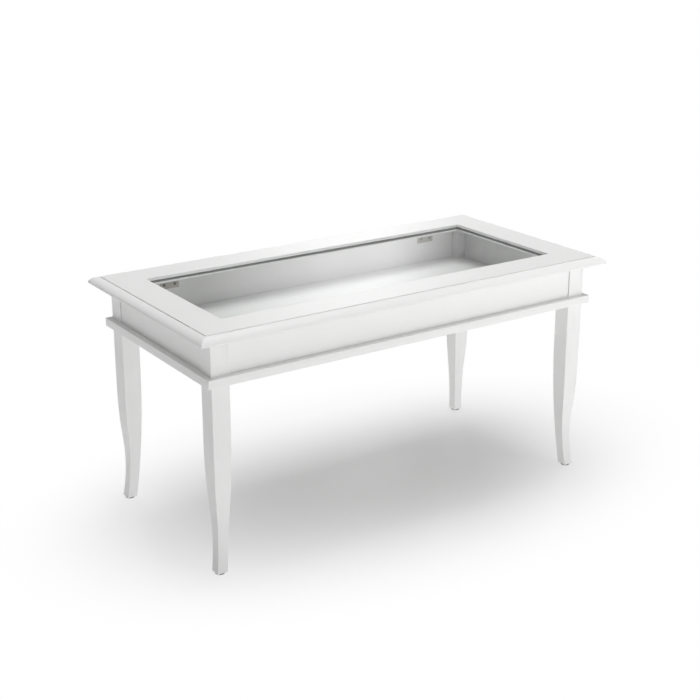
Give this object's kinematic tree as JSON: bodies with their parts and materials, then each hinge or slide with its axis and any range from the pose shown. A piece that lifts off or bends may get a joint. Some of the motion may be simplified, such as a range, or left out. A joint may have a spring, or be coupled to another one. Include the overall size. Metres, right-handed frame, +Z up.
{
  "type": "display coffee table",
  "caption": "White display coffee table: a shallow box on sabre legs under a hinged lid frame with a clear glass pane, so that what lies inside can be seen.",
  "frame": {"origin": "on the floor under the middle of the table", "axes": "+X along the table's length, +Y towards the hinged rear side, +Z up"},
  "size_m": [1, 0.5, 0.5],
  "materials": {
    "white_lacquer": "satin white lacquer over faint straight grain",
    "clear_glass": "polished clear float glass",
    "grey_gasket": "matt dark grey extruded channel",
    "nickel_steel": "nickel-plated steel",
    "zinc_steel": "zinc-plated steel",
    "bare_beech": "bare fluted beech",
    "grey_plastic": "matt grey moulded plastic",
    "clear_rubber": "soft translucent pad"
  },
  "bodies": {
    "table": {"base_board": "white_lacquer", "post_front_left": "white_lacquer", "post_front_right": "white_lacquer", "post_rear_left": "white_lacquer", "post_rear_right": "white_lacquer", "apron_front": "white_lacquer", "apron_rear": "white_lacquer", "apron_left": "white_lacquer", "apron_right": "white_lacquer", "leg_front_left": "white_lacquer", "leg_front_right": "white_lacquer", "leg_rear_left": "white_lacquer", "leg_rear_right": "white_lacquer", "apron_dowels": "bare_beech", "board_screws": "zinc_steel", "leg_bolts": "zinc_steel", "post_inserts": "zinc_steel", "foot_glides": "grey_plastic", "lid_bumpers": "clear_rubber", "hinge_screws_box": "nickel_steel", "hinge_leaf_box_left": "nickel_steel", "hinge_leaf_box_right": "nickel_steel", "hinge_pin_left": "nickel_steel", "hinge_pin_right": "nickel_steel"},
    "lid": {"lid_rail_front": "white_lacquer", "lid_rail_rear": "white_lacquer", "lid_rail_left": "white_lacquer", "lid_rail_right": "white_lacquer", "glass_bead_front": "white_lacquer", "glass_bead_rear": "white_lacquer", "glass_bead_left": "white_lacquer", "glass_bead_right": "white_lacquer", "glass_pane": "clear_glass", "glass_gasket": "grey_gasket", "lid_mitre_dowels": "bare_beech", "bead_pins": "zinc_steel", "hinge_screws_lid": "nickel_steel", "hinge_leaf_lid_left": "nickel_steel", "hinge_leaf_lid_right": "nickel_steel"}
  },
  "joints": [
    {"name": "lid_hinge", "type": "hinge", "parent": "table", "child": "lid", "pos_m": [0, 0.216, 0.4802], "axis": [-1, 0, 0], "range_deg": [0, 95]}
  ]
}
